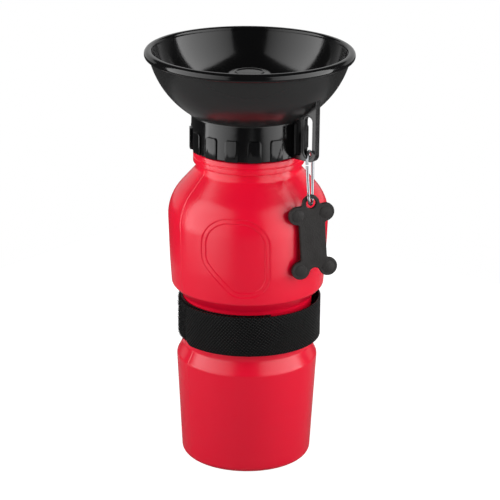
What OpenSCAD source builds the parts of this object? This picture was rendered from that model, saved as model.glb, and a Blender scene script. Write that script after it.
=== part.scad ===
// Travel water bottle for a dog: a soft squeeze bottle whose screw-on head is a drinking bowl.
// Squeezing the bottle sends water up the dip tube and out of the spout into the bowl, and
// letting go draws what is left back down.
// The origin is the centre of the base, +Z is up, and +X runs out along the hanger fin.

/* [Bottle] */
// Outer radius of the lower cup at the base
cup_base_r = 35.4; // [33:0.1:37]
// Outer radius of the lower cup at its top
cup_top_r = 38.6; // [37.5:0.1:41]
// Height of the lower cup, where it turns in to the waist
cup_h = 58.6; // [50:0.2:60]
// Outer radius of the waist that the strap goes round
waist_r = 35.2; // [32:0.1:36]
// Height at which the straight waist starts
waist_z = 65; // [63:0.2:68]
// Straight height of the waist
waist_h = 28.9; // [26:0.1:34]
// Outer radius of the lip over the waist
lip_r = 41.4; // [40:0.1:42]
// Outer radius of the upper body, where it is widest
body_r = 43.75; // [43:0.05:47]
// Height of the upper body's shoulder corner above the waist
body_h = 53.3; // [50:0.1:60]
// Fillet between the upper body and the shoulder
shoulder_fillet = 25; // [12:0.5:26]
// Outer radius of the groove between the shoulder and the neck ring
groove_r = 28.3; // [27:0.1:30]
// Height of the groove above the shoulder corner
groove_h = 17.4; // [15:0.1:20]
// Wall of the blown bottle
bottle_wall = 1.5; // [1:0.1:1.8]
// Height of the push-up in the base
push_up_h = 2; // [1:0.1:3]
// Radius of the standing ring's inner edge
push_up_r = 28.5; // [24:0.5:30]
// Rise of the upper body's slope, from the lip to where it bends
lip_slope_h = 14.6; // [10:0.2:20]

/* [Thumb recess] */
// Depth of the recess in the upper body
recess_depth = 0.9; // [0.4:0.1:1.2]
// Width of the recess across its top
recess_w = 33; // [26:0.5:36]
// Height of the recess
recess_h = 39.2; // [34:0.2:42]
// Radius of the recess's upper corners
recess_top_corner = 13.5; // [9:0.1:15]
// Radius of the recess's lower corners
recess_corner = 9.3; // [6:0.1:11]
// How far the lower left corner is drawn in
recess_slant = 11; // [0:0.5:14]
// Width of the stepped border round the recess
recess_border = 2.3; // [0.8:0.1:2.6]
// Height of the recess's middle above the lip
recess_rise = 25.8; // [23:0.2:28]
// Direction that the recess faces
recess_azimuth = -60; // [-90:1:-30]

/* [Neck] */
// Outer radius of the stop ring under the collar
ring_r = 29.95; // [29:0.05:30.8]
// Height of the groove under the stop ring
ring_rise = 3.6; // [3:0.1:5]
// Height of the stop ring
ring_h = 6.6; // [4:0.1:8]
// Outer radius of the neck inside the collar
neck_r = 26.6; // [25:0.1:27]
// Height of the neck above the stop ring
neck_h = 19.1; // [16:0.1:22]

/* [Bowl and collar] */
// Radial gap between the neck and the collar, which the thread fills
thread_gap = 1.7; // [1.2:0.1:2]
// Wall of the collar
collar_wall = 2.8; // [2:0.1:3.2]
// Gap between the stop ring and the collar's lower edge
collar_gap = 0.8; // [0.4:0.1:1.5]
// Thickness of the bowl's floor
floor_t = 2.6; // [2:0.1:3.5]
// How far the bowl's foot overhangs the collar
foot_step = 0.8; // [0.2:0.1:1.5]
// How far the bowl's foot reaches down past the underside of the floor
foot_drop = 1.6; // [1:0.1:3]
// Height of the bowl, from its foot to the top of the rim
bowl_h = 34.5; // [28:0.5:42]
// Outer radius of the bowl's wall under the rim
mouth_r = 53.4; // [50:0.1:58]
// Radius of the curve of the bowl's wall, seen from the side
bowl_curve_r = 49.2; // [44:0.2:60]
// Wall of the bowl
bowl_wall = 2.2; // [1.6:0.1:2.6]
// How far the rolled rim stands out from the wall
rim_out = 2.6; // [1.8:0.1:4]
// Height of the rolled rim
rim_h = 4.4; // [3.6:0.1:6]
// Fillet between the bowl's floor and wall
floor_fillet = 10; // [4:0.5:14]
// Number of places for grip blocks round the collar; the fin takes one of them
grip_places = 16; // [10:1:20]
// Angle that one grip block covers
grip_angle = 13; // [8:0.5:15]
// How far the grip blocks stand out
grip_out = 0.8; // [0.4:0.1:1.2]
// Height of the grip blocks
grip_h = 11.4; // [8:0.2:14]
// Radius of the grip blocks' upper corners
grip_corner = 1.6; // [0.8:0.1:2]

/* [Hanger fin] */
// How far the fin reaches past the bottle's widest radius
fin_past = 2.65; // [2:0.05:4]
// Thickness of the fin
fin_t = 3.6; // [3:0.1:4.4]
// Radius of the fin's lower outer corner
fin_corner = 4; // [2:0.1:5]
// Width of the slot
slot_w = 5; // [4.8:0.1:5.4]
// Width of the bar outside the slot
slot_bar = 2.6; // [2:0.1:3]
// Height of the bar under the slot
slot_sill = 2.6; // [2:0.1:4]
// Length of the slot
slot_h = 21.6; // [16:0.2:22.4]
// Width of the sunk land round the slot
land_w = 1; // [0.6:0.1:1.2]
// Depth of the sunk land on each face
land_depth = 0.4; // [0.2:0.05:0.6]
// Depth of the recessed web on each face
web_depth = 0.7; // [0.3:0.1:1]
// Width of the ribs round the web
web_rib = 1.6; // [1:0.1:2]

/* [Spout] */
// Outer radius of the spout tube
spout_r = 8; // [7.5:0.1:8.6]
// Bore radius of the spout tube
spout_bore_r = 5.6; // [4.6:0.1:5.8]
// Radius of the water ports
port_r = 2.5; // [1.5:0.1:2.6]
// Height of the ports' centres above the floor
port_h = 5.7; // [5.4:0.1:6.2]
// Outer radius of the twist cap
cap_r = 12.3; // [11.5:0.1:14]
// Height of the cap's top above the floor
cap_h = 18.1; // [17:0.1:22]
// Wall of the cap
cap_wall = 1.6; // [1.2:0.1:1.8]
// Gap that the water leaves through, under the cap's skirt
cap_gap = 2.6; // [1.6:0.1:3]
// Running gap between the cap's sleeve and the spout
cap_clearance = 0.06; // [0.04:0.01:0.1]
// Thickness of the seal ring's section
seal_d = 1.7; // [1.2:0.1:1.8]
// Outer radius of the dip tube
tube_r = 3.2; // [3:0.1:3.4]
// Bore radius of the dip tube
tube_bore_r = 2.2; // [1.8:0.1:2.4]
// Gap between the dip tube's end and the inside of the base
tube_foot_gap = 5; // [3:0.5:12]
// Thickness of the neck gasket
gasket_t = 2.3; // [1.8:0.1:2.6]

/* [Strap] */
// Width of the strap
strap_w = 22.2; // [18:0.1:24]
// Height of the strap above the lower end of the waist
strap_rise = 5; // [3:0.1:6]
// Gap between the strap and the waist
strap_gap = 0.35; // [0.35:0.05:0.6]
// Thickness of the loop strip without its pile
strip_t = 1; // [0.8:0.1:1.2]
// Thickness of the fuzzy pile
pile_t = 0.9; // [0.6:0.1:1.2]
// Thickness of the hooks under the tab
hooks_t = 0.65; // [0.4:0.05:0.8]
// Thickness of the woven tab
tab_t = 1; // [0.8:0.1:1.2]
// How far the loose side stands off
slack = 0.9; // [0.4:0.1:2]
// Direction of the tab's free end
tab_end = -108.5; // [-125:0.5:-95]
// Direction of the seam that joins the tab to the strip
seam = 60; // [50:1:70]
// Direction of the strip's hidden end
strip_end = -30; // [-50:1:-20]
// Radius of the tab's corners
tab_corner = 5; // [2:0.5:8]

/* [Clip and tag] */
// Thickness of the clip's wire
wire_d = 1.6; // [1.4:0.1:1.7]
// Length of the clip between its two ends' wire centres
clip_len = 28; // [26:0.5:32]
// Radius of the clip's wide end
clip_top_r = 6.5; // [6:0.1:7.5]
// Radius of the clip's narrow end
clip_bottom_r = 4.2; // [3.9:0.1:4.4]
// How far the clip's wire lies above the slot's lower end
clip_rise = 2.9; // [2.8:0.05:3.1]
// Direction that the clip's gate faces
clip_azimuth = -66; // [-68:0.5:-64]
// Angle that the clip leans outwards over the shoulder
clip_lean = 17; // [16:0.1:18]
// Angle that the clip leans sideways
clip_tilt = 6.4; // [5.6:0.1:7.2]
// Thickness of the tag
tag_t = 2.2; // [1.8:0.1:2.4]
// Radius of the tag's hole
tag_hole_r = 2.75; // [2.7:0.05:2.9]
// Width of the ring round the hole
tag_ring = 1.95; // [1.6:0.05:2.5]
// Radius of the bone's lobes
lobe_r = 5; // [4:0.1:5.6]
// Distance across between the lobes' centres
lobe_across = 15.3; // [14:0.1:18]
// Distance down between the lobes' centres
lobe_down = 30.6; // [26:0.2:36]
// Width of the bone's shaft
shaft_w = 14.4; // [12:0.1:16]
// Distance from the upper lobes' line up to the hole
hole_rise = 5.8; // [5:0.1:7]
// Direction that the tag's face looks in
tag_azimuth = -33; // [-36:0.5:-30]
// Angle that the tag hangs out of upright
tag_tilt = 4.3; // [0:0.1:8]
// Height of the hole's middle above the middle of the clip's lower wire
hole_lift = 0.7; // [0.6:0.05:0.8]

/* [Hidden] */
$fn = 96;

RED = [0.84, 0.09, 0.17];
BLACK = [0.09, 0.09, 0.10];
SATIN_BLACK = [0.16, 0.16, 0.17];
SILICONE = [0.86, 0.86, 0.84];
NATURAL = [0.88, 0.90, 0.92];
WEBBING = [0.13, 0.13, 0.14];
FUZZ = [0.22, 0.22, 0.23];
STEEL = [0.72, 0.73, 0.75];
RUBBER = [0.20, 0.20, 0.21];

// Overlap that keeps joined shapes one solid, and the reach past a face that a cut needs
bite = 0.2;
// Gap between flat faces that press on each other
seat = 0.05;
// Steps in each rounded corner
steps = 10;

// Heights up the bottle
waist_top = waist_z + waist_h;
lip_z = waist_top + lip_r - waist_r;
shoulder_z = waist_top + body_h;
groove_z = shoulder_z + groove_h;
ring_z = groove_z + ring_rise;
ring_top = ring_z + ring_h;
neck_top = ring_top + neck_h;
neck_bore_r = neck_r - bottle_wall;

// Heights up the head
collar_bore_r = neck_r + thread_gap;
collar_r = collar_bore_r + collar_wall;
collar_z = ring_top + collar_gap;
floor_under = neck_top + gasket_t + 2 * seat;
floor_z = floor_under + floor_t;
foot_z = floor_under - foot_drop;
rim_top = foot_z + bowl_h;
rim_z = rim_top - rim_h;
rim_r = mouth_r + rim_out;
foot_r = collar_r + foot_step;

// Reach of the fin from the bottle's axis, and places on it
fin_reach = body_r + fin_past;
slot_x = fin_reach - slot_bar - slot_w / 2;
slot_z = collar_z + slot_sill;
clip_apex = [slot_x, 0, slot_z + clip_rise];

// ---- Outlines -------------------------------------------------------------------------------

function unit(v) = v / norm(v);
function turned(v, a) = [v.x * cos(a) - v.y * sin(a), v.x * sin(a) + v.y * cos(a)];
function reversed(path) = [for (i = [len(path) - 1 : -1 : 0]) path[i]];
function plain(p) = [p.x, p.y];

// Arc that rounds the corner b of the path a, b, c with radius r
function corner_arc(a, b, c, r) =
    let (u = unit(a - b), v = unit(c - b), half = acos(u * v) / 2,
        centre = b + unit(u + v) * r / sin(half),
        arm = b + u * r / tan(half) - centre,
        turn = (180 - 2 * half) * sign(cross(b - a, c - b)))
    [for (i = [0 : steps]) centre + turned(arm, turn * i / steps)];

// Path through [x, y, fillet] corners, where a fillet of 0 leaves a corner sharp
function rounded(corners) = [for (i = [0 : len(corners) - 1]) each (corners[i].z > 0
    ? corner_arc(plain(corners[i - 1]), plain(corners[i]), plain(corners[i + 1]), corners[i].z)
    : [plain(corners[i])])];

// Path moved to its left by d; the ends move square to their own segment
function side(a, b) = turned(unit(b - a), 90);
function moved(path, d) = let (last = len(path) - 1) [for (i = [0 : last])
    let (before = side(path[max(i - 1, 0)], path[max(i, 1)]),
        after = side(path[min(i, last - 1)], path[min(i + 1, last)]),
        m = unit(before + after))
    path[i] + m * d / (m * before)];

// Arc of radius r that runs anticlockwise from a to b
function arc_centre(a, b, r) = (a + b) / 2 + side(a, b) * sqrt(r * r - pow(norm(b - a) / 2, 2));
function arc(centre, r, from, to, n = 24) =
    [for (i = [0 : n]) centre + r * [cos(from + (to - from) * i / n), sin(from + (to - from) * i / n)]];
function angle_of(v) = atan2(v.y, v.x);

// ---- Bottle ---------------------------------------------------------------------------------

// Slope under the stop ring, the straight land below it, and the notch round its middle
ring_chamfer = 0.6;
ring_land = 0.8;
ring_notch = 0.5;
// Outside of the blown body, from the middle of the base up to the groove under the neck
body_path = rounded([
    [0, push_up_h, 0],
    [push_up_r - 1.8 * push_up_h, push_up_h, 3],
    [push_up_r, 0, 2],
    [cup_base_r, 0, 4],
    [cup_top_r, cup_h, 4],
    [waist_r, waist_z, 3],
    [waist_r, waist_top, 3],
    [lip_r, lip_z, 2.2],
    [lip_r + 0.45 * (body_r - lip_r), lip_z + lip_slope_h, 60],
    [body_r, shoulder_z, shoulder_fillet],
    [groove_r, groove_z, 4],
    [groove_r, ring_z - ring_chamfer - ring_land, 0]]);

neck_path = rounded([
    [groove_r, ring_z - ring_chamfer, 0],
    [ring_r, ring_z, 0.5],
    [ring_r, ring_z + ring_h / 2 - ring_notch, 0],
    [ring_r - ring_notch, ring_z + ring_h / 2, 0.3],
    [ring_r, ring_z + ring_h / 2 + ring_notch, 0],
    [ring_r, ring_top, 0.6],
    [neck_r, ring_top, 0.8],
    [neck_r, neck_top, 0]]);

module bottle() {
    bore = [[neck_bore_r, ring_z], [neck_bore_r, neck_top]];
    inside = concat(moved(body_path, bottle_wall), bore);
    color(RED) union() {
        difference() {
            rotate_extrude() polygon(concat(body_path, neck_path, reversed(inside)));
            recess_layer(recess_border, -1, recess_depth / 2);
            recess_layer(0, -1, recess_depth);
        }
        recess_layer(0, bottle_wall - bite, bottle_wall + recess_depth);
    }
}

// The part of the body's wall between two depths that lies behind the recess's outline
module recess_layer(border, outer, inner) {
    upper = [for (p = body_path) if (p.x > waist_r + bite && p.y > waist_top + bite) p];
    intersection() {
        rotate_extrude() polygon(concat(moved(upper, outer), reversed(moved(upper, inner))));
        rotate([90, 0, 90 + recess_azimuth]) linear_extrude(body_r + 2)
            recess_outline(border);
    }
}

// Outline that is round at the top and drawn in at the lower left, grown by a border
module recess_outline(border) {
    upper = [recess_w / 2 - recess_top_corner, recess_h / 2 - recess_top_corner];
    lower = [recess_w / 2 - recess_corner, recess_h / 2 - recess_corner];
    translate([0, lip_z + recess_rise]) hull() {
        for (x = [-upper.x, upper.x])
            translate([x, upper.y]) circle(recess_top_corner + border, $fn = 48);
        for (at = [[lower.x, -lower.y], [recess_slant - lower.x, -lower.y], [-lower.x, lower.y / 10]])
            translate(at) circle(recess_corner + border, $fn = 48);
    }
}

// ---- Bowl, collar and hanger fin ------------------------------------------------------------

wall_centre = arc_centre([foot_r, foot_z + 0.6], [mouth_r, rim_z], bowl_curve_r);
foot_angle = angle_of([foot_r, foot_z + 0.6] - wall_centre);
mouth_angle = angle_of([mouth_r, rim_z] - wall_centre);
inner_r = bowl_curve_r - bowl_wall;
// Radius of the bowl's inside at the top of the rim
inner_mouth_r = wall_centre.x + sqrt(pow(inner_r, 2) - pow(rim_top - wall_centre.y, 2));
fillet_centre = [wall_centre.x + sqrt(pow(inner_r - floor_fillet, 2)
    - pow(floor_z + floor_fillet - wall_centre.y, 2)), floor_z + floor_fillet];
fillet_end = angle_of(fillet_centre - wall_centre);
inner_end = angle_of([inner_mouth_r, rim_top - 2] - wall_centre);

module bowl() {
    hole_r = spout_r + seat;
    outline = concat(
        rounded([
            [collar_bore_r, collar_z, 0],
            [collar_r, collar_z, 0.5],
            [collar_r - 0.2, foot_z, 0.3],
            [foot_r, foot_z, 0]]),
        arc(wall_centre, bowl_curve_r, foot_angle, mouth_angle),
        rounded([
            [mouth_r + 0.1, rim_z, 0],
            [rim_r, rim_z, 1.7],
            [rim_r, rim_top, 2.2],
            [inner_mouth_r, rim_top, 1.2],
            [inner_mouth_r - 0.25, rim_top - 1.9, 0]]),
        arc(wall_centre, inner_r, inner_end, fillet_end),
        arc(fillet_centre, floor_fillet, fillet_end, -90, steps),
        [[hole_r, floor_z], [hole_r, floor_under], [collar_bore_r, floor_under]]);
    color(BLACK) union() {
        rotate_extrude() polygon(outline);
        grip_blocks();
        hanger_fin();
    }
}

module grip_blocks() {
    pitch = 360 / grip_places;
    half = collar_r * sin(grip_angle / 2);
    block = rounded([
        [-half, -bite, 0], [half, -bite, 0],
        [half, grip_h, grip_corner], [-half, grip_h, grip_corner], [-half, 0, 0]]);
    intersection() {
        translate([0, 0, collar_z]) rotate_extrude() polygon(rounded([
            [collar_r - 2 * bite, 0, 0],
            [collar_r + grip_out, 0, 0.5],
            [collar_r + grip_out, grip_h, 0.4],
            [collar_r - 2 * bite, grip_h, 0]]));
        union() for (i = [1 : grip_places - 1])
            rotate([90, 0, 90 + i * pitch]) translate([0, collar_z, collar_r / 2])
                linear_extrude(collar_r) polygon(block);
    }
}

// Height of the middle of the bowl's wall at radius x
function wall_z(x) = wall_centre.y - sqrt(pow(bowl_curve_r - bowl_wall / 2, 2) - pow(x - wall_centre.x, 2));

module hanger_fin() {
    root_x = collar_r - 1;
    n = 12;
    top = [for (i = [0 : n]) let (x = fin_reach - (fin_reach - foot_r) * i / n) [x, wall_z(x)]];
    difference() {
        rotate([90, 0, 0]) linear_extrude(fin_t, center = true) polygon(concat(
            rounded([
                [root_x, collar_z, 0],
                [fin_reach, collar_z, fin_corner],
                [fin_reach, top[0].y, 0]]),
            top,
            [[root_x, floor_under]]));
        rotate([90, 0, 0]) linear_extrude(fin_t + 2, center = true) slot_outline(slot_w / 2);
        for (face = [-1, 1]) {
            sunk(face, web_depth) web_outline();
            sunk(face, land_depth) slot_outline(slot_w / 2 + land_w);
        }
    }
}

// An outline sunk to a depth into one face of the fin
module sunk(face, depth) {
    translate([0, face * (fin_t / 2 - depth / 2 + bite / 2), 0]) rotate([90, 0, 0])
        linear_extrude(depth + bite, center = true) children();
}

module slot_outline(r) {
    low = slot_z + slot_w / 2;
    high = slot_z + slot_h - slot_w / 2;
    for (z = [low, high]) translate([slot_x, z]) circle(r);
    translate([slot_x - r, low]) square([2 * r, high - low]);
}

// The sunk web between the rib on the collar, the rib under the bowl and the rib round the slot
module web_outline() {
    left = collar_r + web_rib;
    right = slot_x - slot_w / 2 - land_w - 0.7 * web_rib;
    sag = bowl_wall / 2 + web_rib;
    polygon(rounded([
        [left, collar_z + web_rib + 1, 0],
        [right, collar_z + web_rib + 1, 0.8],
        [right, wall_z(right) - sag, 0.8],
        [left, wall_z(left) - sag, 0.8],
        [left, collar_z + web_rib + 1.5, 0]]));
}

// ---- Spout, cap, seal and tube --------------------------------------------------------------

cap_top = floor_z + cap_h;
spout_top = cap_top - cap_wall - 0.6 - seat;
port_z = floor_z + port_h;
seal_z = spout_top - 3.2;
// Snap bead that keeps the cap on the spout
bead_z = floor_z + 2.3;
bead_out = 0.35;
// Flange that the bowl's floor sits on, and the socket under it that holds the dip tube
flange_t = 2.2;
flange_r = spout_r + 3;
socket_r = tube_r + 1.8;
socket_h = 12;
socket_z = floor_under - flange_t - socket_h;
tube_stop = floor_under - flange_t + 1;
// Gap round a part that is pushed home, on the radius
snug = 0.02;
// Groove for the seal ring
seal_floor_r = spout_r - seal_d - snug;
seal_half = seal_d / 2 + seat;
// Cap: underside of its top, lower end of its sleeve, and the sleeve's inside
cap_under = cap_top - cap_wall - 0.6;
sleeve_foot = floor_z + 1.4;
sleeve_t = 1.6;
sleeve_r = spout_r + cap_clearance;
// Width of the cap's flat top edge, and depth of the dish inside it
cap_land = 4.5;
cap_dish = 0.5;
// Half the height of the snap bead's foot, and of the groove that runs over it
bead_half = 0.5;
bead_groove_half = 0.6;

module spout() {
    color(SATIN_BLACK) difference() {
        rotate_extrude() polygon([
            [0, socket_z],
            [socket_r, socket_z],
            [socket_r, floor_under - flange_t],
            [flange_r, floor_under - flange_t],
            [flange_r, floor_under - snug],
            [spout_r, floor_under - snug],
            [spout_r, bead_z - bead_half],
            [spout_r + bead_out, bead_z],
            [spout_r, bead_z + bead_half],
            [spout_r, seal_z - seal_half],
            [seal_floor_r, seal_z - seal_half],
            [seal_floor_r, seal_z + seal_half],
            [spout_r, seal_z + seal_half],
            [spout_r, spout_top - 0.6],
            [spout_r - 0.6, spout_top],
            [0, spout_top]]);
        bore(spout_bore_r, tube_stop + 1, seal_z - 2.2);
        bore(tube_bore_r, tube_stop - bite, tube_stop + 1 + bite);
        bore(tube_r + snug, socket_z - bite, tube_stop);
        ports();
    }
}

module bore(r, from, to) {
    translate([0, 0, from]) cylinder(r = r, h = to - from);
}

// Four ports on two cross drillings
module ports() {
    for (a = [0, 90]) rotate([0, 90, a]) translate([-port_z, 0, 0])
        cylinder(r = port_r, h = 2 * cap_r - 2 * cap_wall - 1, center = true);
}

module spout_cap() {
    color(BLACK) difference() {
        rotate_extrude() polygon(concat(
            [[0, cap_under],
            [sleeve_r, cap_under],
            [sleeve_r, bead_z + bead_groove_half],
            [sleeve_r + bead_out, bead_z],
            [sleeve_r, bead_z - bead_groove_half],
            [sleeve_r, sleeve_foot],
            [sleeve_r + sleeve_t, sleeve_foot],
            [sleeve_r + sleeve_t, cap_under]],
            rounded([
                [cap_r - cap_wall, cap_under, 0],
                [cap_r - cap_wall, floor_z + cap_gap, 0],
                [cap_r, floor_z + cap_gap, 0.4],
                [cap_r, cap_top, 2.4],
                [cap_r - cap_land, cap_top, 2],
                [cap_r - cap_land - 1, cap_top - cap_dish, 2],
                [0, cap_top - cap_dish, 0]])));
        ports();
    }
}

module spout_seal() {
    color(SILICONE) translate([0, 0, seal_z]) rotate_extrude()
        translate([spout_r - seal_d / 2, 0]) circle(d = seal_d, $fn = 32);
}

module dip_tube() {
    foot = push_up_h + bottle_wall + tube_foot_gap;
    color(NATURAL) translate([0, 0, foot]) difference() {
        cylinder(r = tube_r, h = tube_stop - foot);
        translate([0, 0, -1]) cylinder(r = tube_bore_r, h = tube_stop - foot + 2);
    }
}

module neck_gasket() {
    outer = collar_bore_r - 0.3;
    inner = neck_bore_r - 1.6;
    color(SILICONE) translate([0, 0, neck_top + seat]) rotate_extrude() polygon(rounded([
        [inner, 0, 0], [outer, 0, 0.4], [outer, gasket_t, 0.4],
        [inner, gasket_t, 0.4], [inner, 0.1, 0]]));
}

// ---- Strap ----------------------------------------------------------------------------------

strap_z = waist_z + strap_rise;
strip_r = waist_r + strap_gap;
tab_r = strip_r + strip_t + pile_t + hooks_t + 3 * seat;

// Inside radius of the tab, which stands off a little where the strap hangs loose
function tab_inside(a) = tab_r + slack * pow(max(0, cos(0.9 * (a - seam + 18))), 2);
// Inside radius of the strip, which comes in from the seam to lie on the waist
function strip_inside(a) = let (t = min(1, max(0, (a - seam) / 90)), ease = (1 + cos(180 * t)) / 2)
    strip_r + (tab_inside(seam) - strip_t - seat - strip_r) * ease;

// Angle between the corners of every band, which all share one set
band_step = 4;
// Upright band whose inside radius changes with the angle
module band(from, to, inner, t) {
    angles = [from, for (i = [floor(from / band_step) + 1 : ceil(to / band_step) - 1]) band_step * i,
        to];
    translate([0, 0, strap_z]) linear_extrude(strap_w) polygon(concat(
        [for (a = angles) inner(a) * [cos(a), sin(a)]],
        [for (a = reversed(angles)) (inner(a) + t) * [cos(a), sin(a)]]));
}

module strap_strip() {
    color(WEBBING) band(seam - 12, 360 + strip_end, function(a) strip_inside(a), strip_t);
}

module strap_pile() {
    edge = 1.2;
    color(FUZZ) intersection() {
        band(seam + 14, 360 + strip_end, function(a) strip_inside(a) + strip_t + seat, pile_t);
        translate([0, 0, strap_z + edge / 2]) cylinder(r = 2 * waist_r, h = strap_w - edge);
    }
}

module strap_tab() {
    color(WEBBING) difference() {
        band(tab_end, seam + 10, function(a) tab_inside(a), tab_t);
        for (end = [0, 1]) tab_corner_cut(end);
    }
}

// What the lower (0) or upper (1) rounded corner of the tab's free end leaves out
module tab_corner_cut(end) {
    rotate([90, 0, 90 + tab_end]) translate([0, strap_z + end * strap_w, strip_r])
        mirror([0, end, 0]) linear_extrude(tab_r) difference() {
            translate([-2, -2]) square(tab_corner + 2);
            translate([tab_corner, tab_corner]) circle(tab_corner);
        }
}

module strap_hooks() {
    edge = 2;
    color(BLACK) intersection() {
        band(tab_end + 9, strip_end - 4, function(a) tab_inside(a) - hooks_t - seat, hooks_t);
        translate([0, 0, strap_z + edge]) cylinder(r = 2 * waist_r, h = strap_w - 2 * edge);
    }
}

// ---- Clip -----------------------------------------------------------------------------------

// The clip is drawn hanging in the XZ plane from its apex at the origin, gate towards +X.
clip_span = clip_len - clip_top_r - clip_bottom_r;
// Angle between the clip's axis and each straight arm
arm_angle = asin((clip_top_r - clip_bottom_r) / clip_span);
arm_len = clip_span * cos(arm_angle);
top_centre = [0, -clip_top_r];
bottom_centre = [0, clip_bottom_r - clip_len];
// Lower and upper ends of the gate side's straight arm, in the clip's plane
arm_low = bottom_centre + clip_bottom_r * [cos(arm_angle), -sin(arm_angle)];
arm_high = top_centre + clip_top_r * [cos(arm_angle), -sin(arm_angle)];
// Diameter of the straight wire, which starts inside the arcs' thicker wire
bar_d = wire_d - 2 * snug;
// The gate turns on a rivet through a flat tongue that stands on a stub of the frame
rivet_r = 0.35;
rivet_at = 1.6;
tongue_t = 0.56;
tongue_past = 0.75;
stub_h = 0.6;
fork_gap = 0.05;
gate_foot = stub_h + 0.3;
gate_top = arm_len - 0.6;

module place_clip() {
    translate(clip_apex) rotate([clip_tilt, -clip_lean, clip_azimuth]) children();
}

// Wire arc in the clip's plane round a centre, from one angle to another
module wire_arc(centre, r, from, to) {
    translate([centre.x, 0, centre.y]) rotate([90, 0, 0]) rotate([0, 0, from])
        rotate_extrude(angle = to - from) translate([r, 0]) circle(d = wire_d, $fn = 32);
}

// Straight wire that runs a little way into the arc at each end
module wire_bar(a, b) {
    v = b - a;
    translate([a.x, 0, a.y]) rotate([0, 90 - angle_of(v), 0]) translate([0, 0, -bite])
        cylinder(d = bar_d, h = norm(v) + 2 * bite);
}

// Frame along the gate side's arm, measured up from the arm's lower end
module along_arm() {
    translate([arm_low.x, 0, arm_low.y]) rotate([0, 90 - angle_of(arm_high - arm_low), 0]) children();
}

module clip_frame() {
    back_low = [-arm_low.x, arm_low.y];
    back_high = [-arm_high.x, arm_high.y];
    color(STEEL) place_clip() difference() {
        union() {
            wire_arc(top_centre, clip_top_r, -arm_angle, 180 + arm_angle);
            wire_bar(back_low, back_high);
            wire_arc(bottom_centre, clip_bottom_r, 180 + arm_angle, 360 - arm_angle);
            along_arm() intersection() {
                translate([0, 0, -bite]) cylinder(d = bar_d, h = rivet_at + tongue_past + bite);
                union() {
                    cube([2 * wire_d, tongue_t, 20], center = true);
                    translate([0, 0, stub_h - wire_d]) cube(2 * wire_d, center = true);
                }
            }
        }
        along_arm() translate([0, 0, rivet_at]) rotate([90, 0, 0])
            cylinder(r = rivet_r + fork_gap, h = 2 * wire_d, center = true);
    }
}

module clip_gate() {
    color(STEEL) place_clip() along_arm() difference() {
        translate([0, 0, gate_foot]) cylinder(d = wire_d, h = gate_top - gate_foot);
        cube([2 * wire_d, tongue_t + 2 * fork_gap, 2 * (rivet_at + tongue_past + 0.25)], center = true);
        translate([0, 0, rivet_at]) rotate([90, 0, 0])
            cylinder(r = rivet_r + snug / 2, h = 2 * wire_d, center = true);
    }
}

module clip_rivet() {
    color(STEEL) place_clip() along_arm() translate([0, 0, rivet_at]) rotate([90, 0, 0])
        cylinder(r = rivet_r, h = wire_d + 0.1, center = true);
}

// ---- Tag ------------------------------------------------------------------------------------

// Middle of the clip's lower wire, in the bottle's frame
clip_out = turned([cos(clip_tilt) * sin(clip_lean), sin(clip_tilt)], clip_azimuth);
clip_foot = clip_apex + clip_len * [clip_out.x, clip_out.y, -cos(clip_tilt) * cos(clip_lean)];

module bone_tag() {
    pad_r = 0.66 * lobe_r;
    pad_out = 0.25;
    color(RUBBER) translate(clip_foot + [0, 0, hole_lift])
        rotate([90, -tag_tilt, 90 + tag_azimuth]) {
        linear_extrude(tag_t, center = true) difference() {
            union() {
                lobes(lobe_r);
                translate([-shaft_w / 2, -hole_rise - lobe_down]) square([shaft_w, lobe_down]);
                circle(tag_hole_r + tag_ring);
                translate([-tag_hole_r - 1, -hole_rise]) square([2 * tag_hole_r + 2, hole_rise]);
            }
            circle(tag_hole_r);
        }
        translate([0, 0, -tag_t / 2 - pad_out]) linear_extrude(tag_t + 2 * pad_out) lobes(pad_r);
    }
}

module lobes(r) {
    for (x = [-1, 1], y = [0, 1]) translate([x * lobe_across / 2, -hole_rise - y * lobe_down]) circle(r);
}

bottle();
bowl();
spout();
spout_cap();
spout_seal();
dip_tube();
neck_gasket();
strap_strip();
strap_pile();
strap_tab();
strap_hooks();
clip_frame();
clip_gate();
clip_rivet();
bone_tag();
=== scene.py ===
# %% [markdown]
# # A dog's travel water bottle
# A soft red squeeze bottle carries a black bowl that screws onto its neck. Squeezing sends water
# up a tube and out under the round cap in the bowl. A woven strap goes round the waist, and a
# wire clip with a bone-shaped rubber tag hangs from a fin under the bowl.
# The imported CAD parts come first, because every piece made here takes its place from them.

# %% Load the frame
import bisect
import math
import random

import bpy
from mathutils import Matrix, Vector


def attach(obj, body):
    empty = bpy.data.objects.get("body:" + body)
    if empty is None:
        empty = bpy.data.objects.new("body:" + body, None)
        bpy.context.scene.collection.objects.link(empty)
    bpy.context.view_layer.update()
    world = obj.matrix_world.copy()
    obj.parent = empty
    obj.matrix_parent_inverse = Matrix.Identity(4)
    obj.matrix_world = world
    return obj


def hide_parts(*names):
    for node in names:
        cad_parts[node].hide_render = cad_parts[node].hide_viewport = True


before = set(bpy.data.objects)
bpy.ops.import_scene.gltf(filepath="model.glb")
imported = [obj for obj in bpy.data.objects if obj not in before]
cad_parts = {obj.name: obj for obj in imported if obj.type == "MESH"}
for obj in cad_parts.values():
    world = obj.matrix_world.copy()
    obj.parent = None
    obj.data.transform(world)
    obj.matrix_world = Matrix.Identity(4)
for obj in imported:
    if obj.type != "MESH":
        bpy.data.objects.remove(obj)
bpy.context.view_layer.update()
MM = 0.001

# %% [markdown]
# The camera stands where the photograph's did: about 1.15 m from the bottle's axis, half a metre
# up, looking down at nearly 19 degrees. Its three directions are worked out one by one, because
# the picture is also rolled by a fraction of a degree and the bottle stands a little left of it.

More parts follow.
